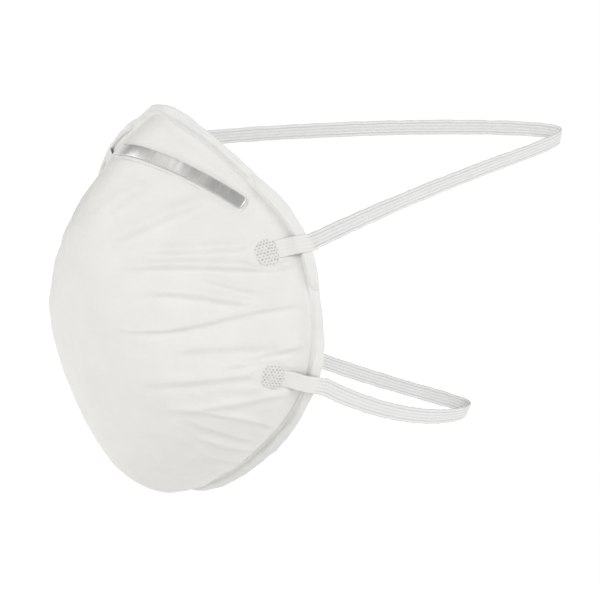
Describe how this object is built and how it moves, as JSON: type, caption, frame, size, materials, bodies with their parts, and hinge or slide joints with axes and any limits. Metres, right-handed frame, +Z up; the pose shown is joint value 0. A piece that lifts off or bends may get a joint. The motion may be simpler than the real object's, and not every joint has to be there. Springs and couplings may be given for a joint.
{
  "type": "disposable dust mask",
  "caption": "Cup-shaped disposable dust mask: layered non-woven cup with a sealed edge, bendable nose strip and elastic head straps.",
  "frame": {"origin": "centre of the face opening, level with the weld line between the nose and the chin", "axes": "+Z up as worn, +Y towards the wearer's face and head, so the dome points to -Y; +X is the wearer's left"},
  "size_m": [0.1256, 0.2168, 0.1574],
  "materials": {
    "cover_web": "soft white spunbond web",
    "filter_web": "fine white melt-blown web",
    "moulded_felt": "stiff heat-moulded felt",
    "lining_web": "smooth white web",
    "sealed_edge": "heat-sealed, pressed and slightly glossy",
    "soft_aluminium": "brushed grey",
    "glue_film": "pale hot-melt film",
    "foam": "soft open-cell foam",
    "elastic_band": "white ribbed woven elastic"
  },
  "bodies": {
    "cup": {"outer_cover": "cover_web", "filter_web": "filter_web", "support_shell": "moulded_felt", "inner_lining": "lining_web", "rim_flange": "sealed_edge", "nose_clip": "soft_aluminium", "clip_adhesive": "glue_film", "nose_foam": "foam", "upper_left_strap_end": "elastic_band", "upper_right_strap_end": "elastic_band", "lower_left_strap_end": "elastic_band", "lower_right_strap_end": "elastic_band"},
    "upper_loop": {"upper_strap": "elastic_band"},
    "lower_loop": {"lower_strap": "elastic_band"}
  },
  "joints": [
    {"name": "upper_strap_swing", "type": "hinge", "parent": "cup", "child": "upper_loop", "pos_m": [0, 0.0148, 0.0362], "axis": [1, 0, 0], "range_deg": [-8, 95], "stiffness_Nm_per_rad": 0.02},
    {"name": "lower_strap_swing", "type": "hinge", "parent": "cup", "child": "lower_loop", "pos_m": [0, 0.0089, -0.0091], "axis": [1, 0, 0], "range_deg": [-58, 12], "stiffness_Nm_per_rad": 0.02}
  ]
}
